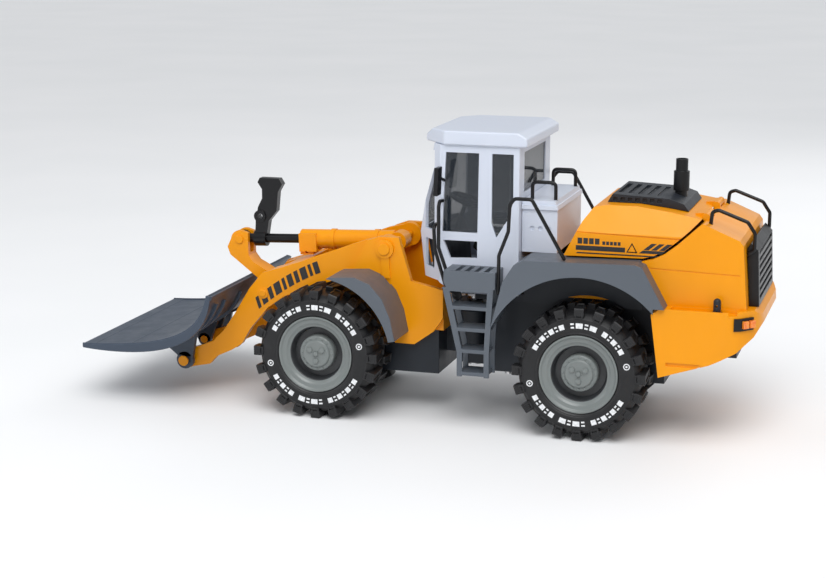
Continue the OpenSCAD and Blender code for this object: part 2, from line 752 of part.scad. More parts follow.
rim_r = 31;
module tyre() {
    o = tyre_w / 2;
    tread_r = tyre_d / 2 - 4.5;
    union() {
        rotate_extrude() polygon([[rim_r - 2, -o + 6.4], [rim_r + 1.6, -o + 2.6],
            [rim_r + 3, -o + 1.4],
            [rim_r + 10, -o + 1], [tread_r - 3, -o + 3], [tread_r, -o + 7],
            [tread_r, o - 7], [tread_r - 3, o - 3], [rim_r + 10, o - 1],
            [rim_r + 3, o - 1.4], [rim_r + 1.6, o - 2.6], [rim_r - 2, o - 6.4]]);
        intersection() {
            for (side = [0, 1]) for (i = [0 : lug_count - 1])
                rotate([0, 0, 90 + (i + side / 2) * 360 / lug_count]) mirror([0, 0, side])
                    translate([tread_r - 9, -4.4, 0]) cube([14, 8.8, o]);
            rotate_extrude() polygon([[tread_r - 8, -o], [tyre_d / 2 - 2, -o],
                [tyre_d / 2, -o + 3], [tyre_d / 2, o - 3], [tyre_d / 2 - 2, o],
                [tread_r - 8, o]]);
        }
    }
}

// Dished rim with its hub tube; +Z is the outside
module rim() {
    o = tyre_w / 2;
    difference() {
        rotate_extrude() polygon([[axle_r, -o + 6], [9, -o + 6], [9, o - 14], [rim_r - 8, o - 14],
            [rim_r - 6.6, o - 6], [rim_r - 5, o - 3.4], [rim_r - 1, o - 3.4], [rim_r, o - 1.6],
            [rim_r + 1.4, o - 1.6], [rim_r + 1.4, o - 2.6], [rim_r - 2.1, o - 6], [rim_r - 2.1, -o + 6],
            [rim_r - 5, -o + 6], [rim_r - 5, o - 18], [12, o - 18], [12, -o + 4], [axle_r, -o + 4]]);
        translate([0, 0, -30]) cylinder(r = axle_r, h = 60);
    }
}

module hub_cap() {
    o = tyre_w / 2;
    bolt_ring = 13.6;
    translate([0, 0, o - 14]) union() {
        rotate_extrude() polygon([[0, 6.2], [8.8, 6.2], [8.8, 0.1], [15.2, 0.1], [15.2, 7], [14.4, 8],
            [12, 8], [11.4, 9.6], [10.6, 10], [0, 10]]);
        for (i = [0 : 15]) rotate([0, 0, i * 22.5]) translate([bolt_ring, 0, 7])
            cylinder(r = 0.9, h = 2, $fn = 16);
        for (i = [0 : 2]) rotate([0, 0, 90 + i * 120]) translate([6.6, 0, 9]) cylinder(r = 2.2, h = 2);
        translate([0, 0, 9]) cylinder(r = 1.9, h = 2.6);
    }
}

// Puts a wheel piece, drawn with +Z outwards, on an axle end
module on_wheel(x, side) {
    at_frame() translate([x, side * (half_w - tyre_w / 2), axle_z]) rotate([-side * 90, 0, 0]) children();
}

module tyre_front_left() { color(BLACK) on_wheel(front_x, 1) tyre(); }
module tyre_front_right() { color(BLACK) on_wheel(front_x, -1) tyre(); }
module tyre_rear_left() { color(BLACK) on_wheel(0, 1) tyre(); }
module tyre_rear_right() { color(BLACK) on_wheel(0, -1) tyre(); }
module rim_front_left() { color(STONE) on_wheel(front_x, 1) rim(); }
module rim_front_right() { color(STONE) on_wheel(front_x, -1) rim(); }
module rim_rear_left() { color(STONE) on_wheel(0, 1) rim(); }
module rim_rear_right() { color(STONE) on_wheel(0, -1) rim(); }
module hub_cap_front_left() { color(STONE) on_wheel(front_x, 1) hub_cap(); }
module hub_cap_front_right() { color(STONE) on_wheel(front_x, -1) hub_cap(); }
module hub_cap_rear_left() { color(STONE) on_wheel(0, 1) hub_cap(); }
module hub_cap_rear_right() { color(STONE) on_wheel(0, -1) hub_cap(); }

rear_chassis();
battery_cover();
rear_body();
counterweight();
rear_grille();
tail_lamps();
tail_lenses();
tow_pin();
grab_rails();
engine_block();
engine_hood();
hood_cowl();
exhaust_pipe();
deck_box();
deck_handle();
cab_shell();
cab_roof();
cab_glazing();
dash_console();
seat();
steering_wheel();
mirrors();
front_rails();
deck_rails();
ladder_left();
ladder_right();
rear_fender_left();
rear_fender_right();
rear_axle();
articulation_pin();
chassis_screws();
front_tower();
front_chassis();
front_fender_left();
front_fender_right();
front_axle();
arm_pivot_pin();
lift_arm();
bellcrank_pin();
bucket_pins();
bellcrank();
bellcrank_ends();
tilt_link();
tilt_barrel();
tilt_rod();
tilt_grip();
bucket();
bucket_link_pin();
tyre_front_left();
tyre_front_right();
tyre_rear_left();
tyre_rear_right();
rim_front_left();
rim_front_right();
rim_rear_left();
rim_rear_right();
hub_cap_front_left();
hub_cap_front_right();
hub_cap_rear_left();
hub_cap_rear_right();
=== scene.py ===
import json
import math
import bmesh
import bpy
from mathutils import Matrix, Vector

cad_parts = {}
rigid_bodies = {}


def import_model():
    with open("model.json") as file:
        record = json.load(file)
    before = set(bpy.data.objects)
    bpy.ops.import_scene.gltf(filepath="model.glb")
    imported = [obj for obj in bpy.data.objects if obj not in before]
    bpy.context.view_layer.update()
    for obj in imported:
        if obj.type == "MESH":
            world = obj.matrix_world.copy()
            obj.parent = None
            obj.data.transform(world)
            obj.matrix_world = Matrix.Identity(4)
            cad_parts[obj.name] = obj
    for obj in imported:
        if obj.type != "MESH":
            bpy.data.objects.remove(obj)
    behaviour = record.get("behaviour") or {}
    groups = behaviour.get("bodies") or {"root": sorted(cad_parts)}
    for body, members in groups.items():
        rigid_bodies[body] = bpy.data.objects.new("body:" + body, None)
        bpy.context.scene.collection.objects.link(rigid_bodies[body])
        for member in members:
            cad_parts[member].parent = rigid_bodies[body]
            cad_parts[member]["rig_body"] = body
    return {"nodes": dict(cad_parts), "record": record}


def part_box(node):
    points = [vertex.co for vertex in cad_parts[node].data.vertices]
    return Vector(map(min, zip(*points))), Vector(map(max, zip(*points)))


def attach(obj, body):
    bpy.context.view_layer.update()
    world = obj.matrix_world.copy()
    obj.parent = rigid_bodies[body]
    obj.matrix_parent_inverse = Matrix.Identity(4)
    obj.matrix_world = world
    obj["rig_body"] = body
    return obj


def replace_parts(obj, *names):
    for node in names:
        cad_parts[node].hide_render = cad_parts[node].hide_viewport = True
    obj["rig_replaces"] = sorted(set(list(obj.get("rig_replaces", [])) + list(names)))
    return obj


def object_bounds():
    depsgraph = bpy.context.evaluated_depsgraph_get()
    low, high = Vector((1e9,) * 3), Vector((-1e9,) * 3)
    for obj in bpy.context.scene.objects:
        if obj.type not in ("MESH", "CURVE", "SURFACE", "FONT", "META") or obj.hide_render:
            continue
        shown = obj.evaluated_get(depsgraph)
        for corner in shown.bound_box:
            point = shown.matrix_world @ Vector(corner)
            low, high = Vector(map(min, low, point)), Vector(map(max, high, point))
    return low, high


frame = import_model()
cad_low, cad_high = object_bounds()
MM = 0.001

# ---------- places taken from the frame ----------


def centre(node):
    low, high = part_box(node)
    return (low + high) / 2


# Each wheel's place in its nodes' names, and the side of the vehicle that its outer face looks to.
WHEELS = {"front_left": 1, "front_right": -1, "rear_left": 1, "rear_right": -1}
REAR_X = centre("tyre_rear_left").x
TYRE_R = (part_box("tyre_rear_left")[1].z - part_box("tyre_rear_left")[0].z) / 2
TYRE_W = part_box("tyre_rear_left")[1].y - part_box("tyre_rear_left")[0].y


def station(x, y, z):
    """A point in millimetres, with x counted from the rear axle, as the CAD source counts it."""
    return Vector((REAR_X + x * MM, y * MM, z * MM))


# ---------- materials ----------


class Nodes:
    """Short names for building one node material."""

    def __init__(self, name):
        self.mat = bpy.data.materials.new(name)
        self.mat.use_nodes = True
        self.tree = self.mat.node_tree
        self.tree.nodes.clear()
        self.out = self.add("ShaderNodeOutputMaterial")
        self.bsdf = self.add("ShaderNodeBsdfPrincipled")
        self.link(self.bsdf.outputs[0], self.out.inputs[0])
        self.coord = self.add("ShaderNodeTexCoord")

    def add(self, kind, **values):
        node = self.tree.nodes.new(kind)
        for key, value in values.items():
            setattr(node, key, value)
        return node

    def link(self, a, b):
        self.tree.links.new(a, b)

    def put(self, socket, value):
        if isinstance(value, bpy.types.NodeSocket):
            self.link(value, socket)
        else:
            socket.default_value = value

    def noise(self, scale, detail=3, rough=0.5, stretch=None):
        node = self.add("ShaderNodeTexNoise")
        node.inputs["Scale"].default_value = scale
        node.inputs["Detail"].default_value = detail
        node.inputs["Roughness"].default_value = rough
        source = self.coord.outputs["Object"]
        if stretch:
            mapping = self.add("ShaderNodeMapping")
            mapping.inputs["Scale"].default_value = stretch
            self.link(source, mapping.inputs["Vector"])
            source = mapping.outputs["Vector"]
        self.link(source, node.inputs["Vector"])
        return node.outputs["Fac"]

    def ramp(self, value, low, high, out_low=0.0, out_high=1.0):
        node = self.add("ShaderNodeMapRange")
        self.link(value, node.inputs["Value"])
        limits = {"From Min": low, "From Max": high, "To Min": out_low, "To Max": out_high}
        for key, number in limits.items():
            node.inputs[key].default_value = number
        return node.outputs["Result"]

    def math(self, operation, a, b=0.0):
        node = self.add("ShaderNodeMath", operation=operation)
        self.put(node.inputs[0], a)
        self.put(node.inputs[1], b)
        return node.outputs[0]

    def mix(self, factor, a, b):
        node = self.add("ShaderNodeMix", data_type="RGBA")
        self.put(node.inputs["Factor"], factor)
        self.put(node.inputs[6], a)
        self.put(node.inputs[7], b)
        return node.outputs[2]

    def bump(self, height, strength, distance, normal=None):
        node = self.add("ShaderNodeBump")
        self.put(node.inputs["Height"], height)
        node.inputs["Strength"].default_value = strength
        node.inputs["Distance"].default_value = distance
        if normal:
            self.link(normal, node.inputs["Normal"])
        return node.outputs["Normal"]

    def edge_mask(self, radius):
        """1 on sharp edges and 0 on flat ground."""
        bevel = self.add("ShaderNodeBevel", samples=4)
        bevel.inputs["Radius"].default_value = radius
        geometry = self.add("ShaderNodeNewGeometry")
        dot = self.add("ShaderNodeVectorMath", operation="DOT_PRODUCT")
        self.link(bevel.outputs[0], dot.inputs[0])
        self.link(geometry.outputs["Normal"], dot.inputs[1])
        return self.ramp(dot.outputs["Value"], 0.99, 0.86)

    def set(self, **values):
        for key, value in values.items():
            self.put(self.bsdf.inputs[key.replace("_", " ")], value)


def rgba(r, g, b, scale=1.0):
    return (r * scale, g * scale, b * scale, 1.0)


def moulded(name, colour, rough=0.3, grain=0.12, edge=0.35, coat=0.15, mottle=1.0, shine_level=0.5):
    """Injection-moulded toy plastic: colour drift, flow marks, fine scuffs and paler edges that are partly
    wear and partly painted highlight.
    """
    n = Nodes(name)
    drift = n.ramp(n.noise(9, 2), 0.3, 0.7)
    flow = n.ramp(n.noise(60, 4, 0.6, (1, 1, 0.25)), 0.35, 0.7)
    scuff = n.ramp(n.noise(380, 5, 0.7, (0.25, 1, 1)), 0.56, 0.72)
    # Paler edges: partly wear, partly a painted highlight along the moulded edges.
    wear_and_highlight = n.math("MULTIPLY", n.edge_mask(0.0007), n.ramp(n.noise(160, 3), 0.4, 0.62))
    base = n.mix(drift, rgba(*colour), rgba(*[c * (1 - 0.09 * mottle) for c in colour]))
    base = n.mix(n.math("MULTIPLY", flow, 0.12 * mottle), base, rgba(*[c * 0.78 for c in colour]))
    pale = tuple(min(1, c * 1.25 + 0.02) for c in colour)
    base = n.mix(n.math("MULTIPLY", wear_and_highlight, edge), base, rgba(*pale))
    shine = n.ramp(flow, 0, 1, rough - 0.05 * mottle, rough + 0.06 * mottle)
    shine = n.math("ADD", shine, n.math("MULTIPLY", scuff, 0.07 * mottle))
    normal = n.bump(n.noise(900, 3, 0.55), grain, 0.00012)
    normal = n.bump(n.noise(30, 2), 0.02 * mottle, 0.001, normal)
    n.set(Base_Color=base, Roughness=shine, Normal=normal, IOR=1.5, Coat_Weight=coat, Coat_Roughness=0.12)
    n.bsdf.inputs["Specular IOR Level"].default_value = shine_level
    n.bsdf.inputs["Subsurface Weight"].default_value = 0.04
    n.bsdf.inputs["Subsurface Radius"].default_value = (0.002, 0.0015, 0.001)
    return n.mat


def soft_rubber(name):
    """Black tyre vinyl: dull, finely grained, with grey bloom in the low places and polished lug tips."""
    n = Nodes(name)
    bloom = n.ramp(n.noise(70, 4, 0.6), 0.45, 0.75)
    fine = n.noise(1400, 2, 0.6)
    edge = n.edge_mask(0.0009)
    base = n.mix(n.math("MULTIPLY", bloom, 0.55), rgba(0.009, 0.009, 0.010), rgba(0.022, 0.022, 0.023))
    base = n.mix(n.math("MULTIPLY", edge, 0.5), base, rgba(0.035, 0.035, 0.037))
    rough = n.math("SUBTRACT", n.ramp(bloom, 0, 1, 0.44, 0.6), n.math("MULTIPLY", edge, 0.08))
    normal = n.bump(fine, 0.25, 0.0001)
    normal = n.bump(n.noise(120, 3), 0.12, 0.0006, normal)
    n.set(Base_Color=base, Roughness=rough, Normal=normal)
    n.bsdf.inputs["Specular IOR Level"].default_value = 0.42
    return n.mat


def smoky_clear(name):
    """Clear sheet given a dark tint and part opacity, which is painted shade for the dark inside of the cab,
    with faint dust and a soft ripple.
    """
    n = Nodes(name)
    dust = n.ramp(n.noise(240, 5, 0.7), 0.5, 0.8, 0.03, 0.16)
    # The dark base colour and the partial opacity paint in the shade seen through the panes.
    n.set(Base_Color=rgba(0.02, 0.026, 0.034), Roughness=dust, IOR=1.45,
          Normal=n.bump(n.noise(14, 2), 0.12, 0.002))
    alpha = n.ramp(dust, 0.03, 0.16, 0.66, 0.74)
    n.set(Alpha=alpha, Specular_IOR_Level=0.7)
    return n.mat


def drawn_steel(name):
    """Bright drawn rod with lines round its length and small tarnish spots."""
    n = Nodes(name)
    lines = n.noise(700, 3, 0.6, (1, 0.04, 1))
    spots = n.ramp(n.noise(130, 4), 0.58, 0.72)
    base = n.mix(n.math("MULTIPLY", spots, 0.6), rgba(0.62, 0.62, 0.63), rgba(0.3, 0.27, 0.24))
    n.set(Base_Color=base, Metallic=1.0, Roughness=n.ramp(lines, 0.3, 0.7, 0.2, 0.4),
          Normal=n.bump(lines, 0.15, 0.0001))
    return n.mat


def lens_orange(name):
    """Clear orange lamp cover with moulded flutes."""
    n = Nodes(name)
    flutes = n.add("ShaderNodeTexWave", wave_type="BANDS", bands_direction="Z")
    flutes.inputs["Scale"].default_value = 260
    n.link(n.coord.outputs["Object"], flutes.inputs["Vector"])
    tone = n.ramp(n.noise(200, 2), 0.35, 0.65)
    n.set(Base_Color=n.mix(tone, rgba(0.85, 0.17, 0.01), rgba(0.95, 0.3, 0.03)),
          Roughness=n.ramp(tone, 0, 1, 0.12, 0.2),
          Normal=n.bump(flutes.outputs["Fac"], 0.4, 0.0004), Coat_Weight=0.6)
    n.bsdf.inputs["Subsurface Weight"].default_value = 0.25
    n.bsdf.inputs["Subsurface Radius"].default_value = (0.004, 0.001, 0.0005)
    return n.mat


def printed(name, colour, rough):
    """Thin printed film: slightly uneven ink with rubbed-off speckle."""
    n = Nodes(name)
    ink = n.ramp(n.noise(500, 4, 0.7), 0.3, 0.7)
    n.set(Base_Color=n.mix(ink, rgba(*colour), rgba(*[c * 1.5 + 0.01 for c in colour])),
          Roughness=n.ramp(ink, 0, 1, rough, rough + 0.15), Normal=n.bump(n.noise(900, 2), 0.08, 0.0001))
    return n.mat


YELLOW = (0.88, 0.325, 0.0)
STONE = (0.092, 0.108, 0.13)
DARK = (0.017, 0.021, 0.028)
BLACK = (0.004, 0.004, 0.005)
# The white is cooled and darkened to the cab's look in shade: painted shade in the base colour.
SHADED_WHITE = (0.6, 0.64, 0.73)
ENGINE = (0.09, 0.095, 0.1)
# The bucket's slate is darkened to its look in deep shade: painted shade in the base colour.
SHADED_SLATE = (0.046, 0.063, 0.092)
RIM = (0.185, 0.205, 0.2)

MATERIALS = {
    "yellow_plastic": moulded("yellow_plastic", YELLOW, 0.34, edge=0.28, coat=0.04, shine_level=0.28),
    "stone_plastic": moulded("stone_plastic", STONE, 0.4, edge=0.4, coat=0.08),
    "dark_plastic": moulded("dark_plastic", DARK, 0.46, grain=0.2, edge=0.5, coat=0.04, shine_level=0.32),
    "black_plastic": moulded("black_plastic", BLACK, 0.36, edge=0.4, coat=0.05, shine_level=0.34),
    "white_plastic": moulded("white_plastic", SHADED_WHITE, 0.34, edge=0.2, coat=0.06, mottle=0.12),
    "smoky_clear": smoky_clear("smoky_clear"),
    "orange_lens": lens_orange("orange_lens"),
    "engine_grey": moulded("engine_grey", ENGINE, 0.5, grain=0.3, edge=0.6),
    # The bucket's strong pale edges are mostly a painted highlight along its rims, with some wear.
    "bucket_plastic": moulded("bucket_plastic", SHADED_SLATE, 0.38, edge=0.75, coat=0.05, shine_level=0.4),
    "steel": drawn_steel("steel"),
    "tyre_rubber": soft_rubber("tyre_rubber"),
    "rim_plastic": moulded("rim_plastic", RIM, 0.36, edge=0.45),
}
# Darker grey for the rim's groove round the hub cap: painted shade.
RECESS_SHADE = moulded("rim_recess_painted_shade", (0.035, 0.037, 0.04), 0.45, edge=0.3)
BLACK_PRINT = printed("black_print", (0.01, 0.01, 0.011), 0.35)
WHITE_PRINT = printed("white_print", (0.6, 0.61, 0.62), 0.45)
SLOT_OF = {s["node"]: s["material_slot"] for s in frame["record"]["subparts"]}

# ---------- CAD nodes that stay ----------

# Thin frames and open shells whose faces must not be simplified before their edges are rounded.
LATTICES = ("ladder_left", "ladder_right", "cab_shell", "tail_lenses")

# Moulded edge radius in millimetres. A node that isn't here gets SMALL_RADIUS.
SMALL_RADIUS = 0.35
EDGE_RADIUS = {
    "engine_hood": 1.8, "hood_cowl": 1.0, "rear_body": 1.2, "counterweight": 1.6, "rear_grille": 0.5,
    "rear_chassis": 0.8, "rear_fender_left": 1.1, "rear_fender_right": 1.1, "tail_lamps": 0.6,
    "deck_box": 0.8, "cab_shell": 0.7, "cab_roof": 1.8, "seat": 2.4, "dash_console": 1.2,
    "front_tower": 0.7, "front_chassis": 1.0, "front_fender_left": 1.0, "front_fender_right": 1.0,
    "lift_arm": 0.7, "bellcrank": 0.8, "tilt_barrel": 0.6, "tilt_grip": 1.2,
}


def dress(node):
    """Material, merged edges and a small moulded radius on a CAD node."""
    obj = frame["nodes"][node]
    obj.data.materials.clear()
    obj.data.materials.append(MATERIALS[SLOT_OF[node]])
    for face in obj.data.polygons:
        face.use_smooth = True
    weld = obj.modifiers.new("weld", "WELD")
    weld.merge_threshold = 2e-6
    if node not in LATTICES:
        flat = obj.modifiers.new("flat", "DECIMATE")
        flat.decimate_type = "DISSOLVE"
        flat.angle_limit = math.radians(0.4)
    edge = round_edges(obj, EDGE_RADIUS.get(node, SMALL_RADIUS), 28)
    edge.use_clamp_overlap = True
    edge.miter_outer = "MITER_ARC"
    normals = obj.modifiers.new("normals", "WEIGHTED_NORMAL")
    normals.keep_sharp = True


def dress_all(replaced):
    for node in frame["nodes"]:
        if node not in replaced:
            dress(node)


# ---------- mesh helpers ----------


def round_edges(obj, width, angle):
    """Rounds every edge that is sharper than angle, by width millimetres."""
    edge = obj.modifiers.new("edge", "BEVEL")
    edge.width = width * MM
    edge.segments = 3
    edge.limit_method = "ANGLE"
    edge.angle_limit = math.radians(angle)
    edge.harden_normals = True
    return edge


def add_piece(name, part, node, material, replaces=(), smooth_angle=35):
    """A mesh piece in the shared frame that rides with a CAD node's body."""
    verts, faces = part
    mesh = bpy.data.meshes.new(name)
    mesh.from_pydata([tuple(v) for v in verts], [], [tuple(f) for f in faces])
    work = bmesh.new()
    work.from_mesh(mesh)
    bmesh.ops.remove_doubles(work, verts=work.verts, dist=1e-7)
    bmesh.ops.recalc_face_normals(work, faces=work.faces)
    for face in work.faces:
        face.smooth = True
    for edge in work.edges:
        if edge.is_manifold and edge.calc_face_angle(0) > math.radians(smooth_angle):
            edge.smooth = False
    work.to_mesh(mesh)
    work.free()
    obj = bpy.data.objects.new(name, mesh)
    bpy.context.scene.collection.objects.link(obj)
    mesh.materials.append(material)
    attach(obj, frame["nodes"][node]["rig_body"])
    if replaces:
        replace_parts(obj, *replaces)
    return obj


def revolve(profile, steps):
    """Closed profile of (radius, height) turned about +Z."""
    count = len(profile)
    verts = []
    for i in range(steps):
        a = 2 * math.pi * i / steps
        verts += [(r * math.cos(a), r * math.sin(a), h) for r, h in profile]
    faces = []
    for i in range(steps):
        j = (i + 1) % steps
        for k in range(count):
            m = (k + 1) % count
            faces.append((i * count + k, j * count + k, j * count + m, i * count + m))
    return verts, faces


def merge(*parts):
    """One part from several, each a list of points and a list of faces."""
    verts, faces = [], []
    for v, f in parts:
        base = len(verts)
        verts += v
        faces += [tuple(base + i for i in face) for face in f]
    return verts, faces


def moved(part, matrix):
    verts, faces = part
    return [matrix @ Vector(v) for v in verts], faces


def round_corner(points, radius, steps=6):
    """Polyline with each inner corner turned into an arc."""
    out = [points[0]]
    for a, b, c in zip(points, points[1:], points[2:]):
        u, w = (a - b).normalized(), (c - b).normalized()
        half = u.angle(w) / 2
        reach = min(radius / math.tan(half), (a - b).length * 0.48, (c - b).length * 0.48)
        for k in range(steps + 1):
            t = k / steps
            out.append((b + u * reach) * (1 - t) ** 2 + b * 2 * t * (1 - t) + (b + w * reach) * t * t)
    return out + [points[-1]]


def tube(points, radius, sides=16, bend=4):
    """Round rail through points in millimetres, with bent corners and domed ends."""
    path = round_corner([station(*p) for p in points], bend * MM)
    path = [p for i, p in enumerate(path) if i == 0 or (p - path[i - 1]).length > 1e-6]
    tangent = (path[1] - path[0]).normalized()
    side = tangent.orthogonal().normalized()
    rings, r = [], radius * MM
    for i, p in enumerate(path):
        ahead = path[min(i + 1, len(path) - 1)] - path[max(i - 1, 0)]
        new = ahead.normalized()
        side = (tangent.rotation_difference(new) @ side).normalized()
        tangent = new
        rings.append((p, side.copy(), tangent.copy(), r))
    first, last = rings[0], rings[-1]
    dome = [(0.98, 0.2), (0.8, 0.6), (0.45, 0.9)]
    start = [(first[0] - first[2] * r * h, first[1], first[2], r * w) for w, h in reversed(dome)]
    end = [(last[0] + last[2] * r * h, last[1], last[2], r * w) for w, h in dome]
    rings = start + rings + end
    verts, faces = [], []
    for p, s, t, rr in rings:
        other = t.cross(s)
        for k in range(sides):
            a = 2 * math.pi * k / sides
            verts.append(p + (s * math.cos(a) + other * math.sin(a)) * rr)
    for i in range(len(rings) - 1):
        for k in range(sides):
            m = (k + 1) % sides
            faces.append((i * sides + k, i * sides + m, (i + 1) * sides + m, (i + 1) * sides + k))
    faces.append(tuple(reversed(range(sides))))
    faces.append(tuple((len(rings) - 1) * sides + k for k in range(sides)))
    return verts, faces


def mirrored(part):
    """The same part on the other side of the vehicle."""
    verts, faces = part
    return [Vector((v[0], -v[1], v[2])) for v in verts], [tuple(reversed(f)) for f in faces]


def both(part):
    return merge(part, mirrored(part))


def wheel_matrix(where):
    """Puts a wheel piece, drawn in millimetres with +Z outwards, on its axle end."""
    place = centre("tyre_" + where)
    turn = Matrix.Rotation(math.radians(-90 * WHEELS[where]), 4, "X")
    return Matrix.Translation(place) @ turn @ Matrix.Scale(MM, 4)


# ---------- wheels ----------

# Sizes in millimetres, with the radius counted from the axle.
LUGS = 20
LUG_DEPTH = 4.5
RIM_R = 31.0


def tyre_part(half):
    """Carcass with a moulded sidewall, and a row of lugs on each shoulder."""
    outer = TYRE_R / MM
    tread = outer - LUG_DEPTH
    bead = [(RIM_R - 1.9, half - 6.5), (RIM_R + 0.6, half - 3.6), (RIM_R + 1.7, half - 2.5),
            (RIM_R + 2.4, half - 1.6), (RIM_R + 3.2, half - 1.2), (RIM_R + 4.0, half - 1.5)]
    wall = [(RIM_R + 4.6, half - 1.1), (RIM_R + 7, half - 0.6), (RIM_R + 11, half - 0.6),
            (RIM_R + 14, half - 1.2), (RIM_R + 15, half - 1.1), (RIM_R + 15.8, half - 1.8)]
    crown = [(tread - 2.2, half - 3.6), (tread - 0.6, half - 5.4),
             (tread, half - 8), (tread + 0.15, half - 16)]
    side = bead + wall + crown
    carcass = revolve(side + [(tread + 0.2, 0)] + [(r, -h) for r, h in reversed(side)], 160)
    return merge(carcass, *[lug_part(i, s, tread, outer, half) for s in (0, 1) for i in range(LUGS)])


def lug_part(i, side, tread, outer, half):
    """One shoulder lug: a leaning bar with a stepped top, and a block at its end on the sidewall."""
    angle = math.radians(90 + (i + side / 2) * 360 / LUGS)
    wide, narrow, lean = 4.4, 3.0, 2.6
    low = tread - 1.5
    outline = [(-narrow + lean, 0.6), (narrow + lean, 0.6),
               (wide + 0.6, half * 0.5), (wide, half - 3.2), (wide - 0.5, half - 0.3),
               (-wide + 0.5, half - 0.3), (-wide, half - 3.2), (-wide + 0.6, half * 0.5)]
    mid = Vector((lean * 0.3, half * 0.55))
    rows = [(0.0, low), (0.0, outer - 0.7), (0.5, outer - 0.1), (0.9, outer),
            (2.2, outer), (2.5, outer - 0.8)]
    count = len(outline)
    verts, faces = [], []
    for inset, radius in rows:
        for x, z in outline:
            p = Vector((x, z))
            p += (mid - p).normalized() * inset
            b = angle + p.x / radius
            verts.append((radius * math.cos(b), radius * math.sin(b), -p.y if side else p.y))
    for k in range(len(rows) - 1):
        for m in range(count):
            n = (m + 1) % count
            faces.append((k * count + m, k * count + n, (k + 1) * count + n, (k + 1) * count + m))
    faces.append(tuple(reversed(range(count))))
    faces.append(tuple((len(rows) - 1) * count + m for m in range(count)))
    return merge((verts, faces), shoulder_block(angle, side, outer, half))


def shoulder_block(angle, side, outer, half):
    """Block that runs down the sidewall, with a sunk middle."""
    top_half, low_half, sunk = 4.1, 3.3, 1.3
    r_top, r_low = outer - 1.2, RIM_R + 15.2
    ring = [(-top_half, r_top), (top_half, r_top), (low_half, r_low), (-low_half, r_low)]
    mid_r = (r_top + r_low) / 2

    def shrink(k):
        return [(x * k, mid_r + (r - mid_r) * k) for x, r in ring]

    layers = [(ring, half - 5), (ring, half - 0.4),
              (shrink(0.92), half), (shrink(0.66), half), (shrink(0.58), half - sunk)]
    verts, faces = [], []
    for points, z in layers:
        for x, r in points:
            a = angle + x / r
            verts.append((r * math.cos(a), r * math.sin(a), -z if side else z))
    for k in range(len(layers) - 1):
        for m in range(4):
            n = (m + 1) % 4
            faces.append((k * 4 + m, k * 4 + n, (k + 1) * 4 + n, (k + 1) * 4 + m))
    faces.append((3, 2, 1, 0))
    base = (len(layers) - 1) * 4
    faces.append((base, base + 1, base + 2, base + 3))
    if side:
        faces = [tuple(reversed(f)) for f in faces]
    return verts, faces


def sidewall_marks(half):
    """Plain moulded dashes and ring dots round the outer sidewall."""
    parts = []
    z0, z1 = half - 0.9, half - 0.36
    low, high = RIM_R + 7.6, RIM_R + 11.8
    groups = ((6, 3, 6, 3, 6), (8, 4, 8, 4), (6, 3, 6, 3, 6, 3, 6))
    for start in (29, 209):
        a = start
        for group in groups:
            for k, length in enumerate(group):
                if k % 2:
                    parts.append(arc_block(a, a + length, low, low + 1.3, z0, z1))
                    parts.append(arc_block(a, a + length, high - 1.3, high, z0, z1))
                else:
                    parts.append(arc_block(a, a + length, low, high, z0, z1))
                a += length + 2.1
            a += 5.5
    for spot in (14, 194):
        parts.append(ring_dot(spot, (low + high) / 2, 2.7, 1.9, z0, z1))
        parts.append(ring_dot(spot, (low + high) / 2, 0.9, 0.02, z0, z1))
    return merge(*parts)


def arc_block(a0, a1, r0, r1, z0, z1):
    """Block between two angles in degrees, two radii and two heights."""
    steps = max(2, int((a1 - a0) / 2))
    verts, faces = [], []
    for i in range(steps + 1):
        a = math.radians(a0 + (a1 - a0) * i / steps)
        for r, z in ((r0, z0), (r0, z1), (r1, z1), (r1, z0)):
            verts.append((r * math.cos(a), r * math.sin(a), z))
    for i in range(steps):
        for k in range(4):
            m = (k + 1) % 4
            faces.append((i * 4 + k, i * 4 + m, i * 4 + 4 + m, i * 4 + 4 + k))
    faces += [(3, 2, 1, 0), tuple(steps * 4 + k for k in range(4))]
    return verts, faces


def ring_dot(angle, radius, r_out, r_in, z0, z1):
    """Small ring whose middle is at an angle and a radius."""
    part = revolve([(r_in, z0), (r_out, z0), (r_out, z1), (r_in, z1)], 20)
    return moved(part, turned_out(radius, angle))


def rim_part(half):
    """Dished rim with a rolled lip. Heights are counted from the tyre's outer face."""
    inner = [(3.0, -half + 4), (12, -half + 4), (12, half - 19), (13, half - 18),
             (RIM_R - 6.5, half - 18), (RIM_R - 5, half - 16.5), (RIM_R - 5, -half + 7),
             (RIM_R - 4, -half + 6), (RIM_R - 2.1, -half + 6)]
    lip = [(RIM_R - 2.1, half - 6), (RIM_R + 1.2, half - 2.8), (RIM_R + 1.4, half - 2.3),
           (RIM_R + 1.3, half - 1.8), (RIM_R + 0.9, half - 1.6), (RIM_R + 0.2, half - 1.6),
           (RIM_R - 0.4, half - 2.0), (RIM_R - 1.0, half - 3.0), (RIM_R - 1.6, half - 3.4)]
    dish = [(RIM_R - 4.0, half - 3.4), (RIM_R - 4.6, half - 3.7), (RIM_R - 5.4, half - 4.4),
            (RIM_R - 6.6, half - 5.2), (RIM_R - 7.6, half - 5.4), (RIM_R - 8.2, half - 5.9),
            (RIM_R - 8.6, half - 7.2), (RIM_R - 9.4, half - 13.2), (RIM_R - 10.2, half - 14)]
    return revolve(inner + lip + dish + [(9, half - 14), (9, -half + 6), (3.0, -half + 6)], 128)


